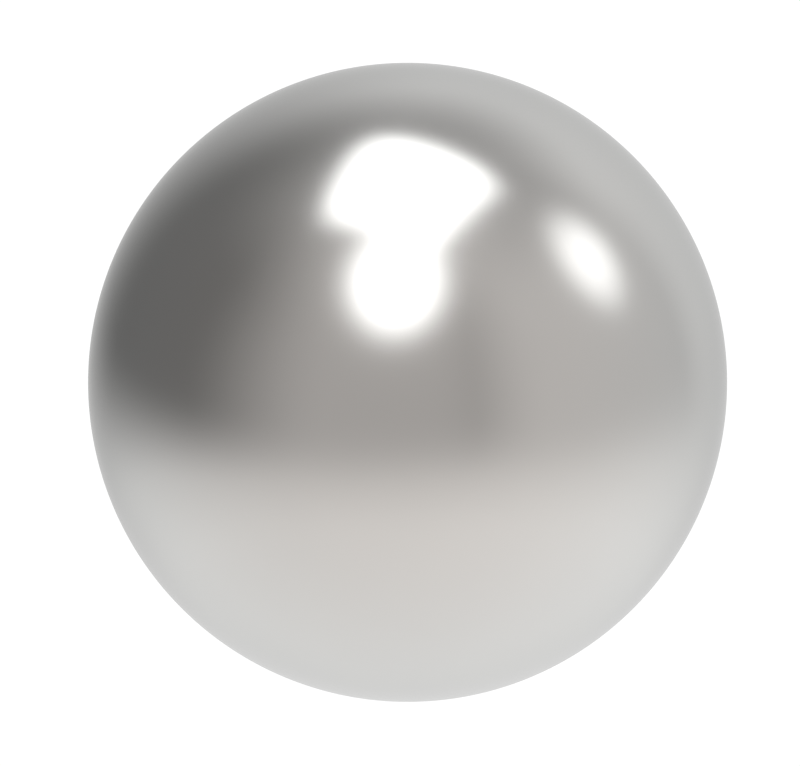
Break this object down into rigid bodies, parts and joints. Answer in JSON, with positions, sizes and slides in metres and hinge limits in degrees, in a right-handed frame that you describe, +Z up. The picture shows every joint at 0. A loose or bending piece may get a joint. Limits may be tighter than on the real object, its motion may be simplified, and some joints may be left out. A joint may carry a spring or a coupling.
{
  "type": "steel ball",
  "caption": "Solid polished steel ball, a true sphere used as a rolling element, weight, check ball or desk piece.",
  "frame": {"origin": "the centre of the ball", "axes": "+Z up, away from the seat that holds the ball; X and Y are level and alike, because the ball is round about every axis"},
  "size_m": [0.0254, 0.0254, 0.0254],
  "materials": {
    "polished_steel": "bare hardened steel, lapped to a soft mirror polish, neutral grey"
  },
  "bodies": {
    "root": {"ball": "polished_steel"}
  },
  "joints": []
}
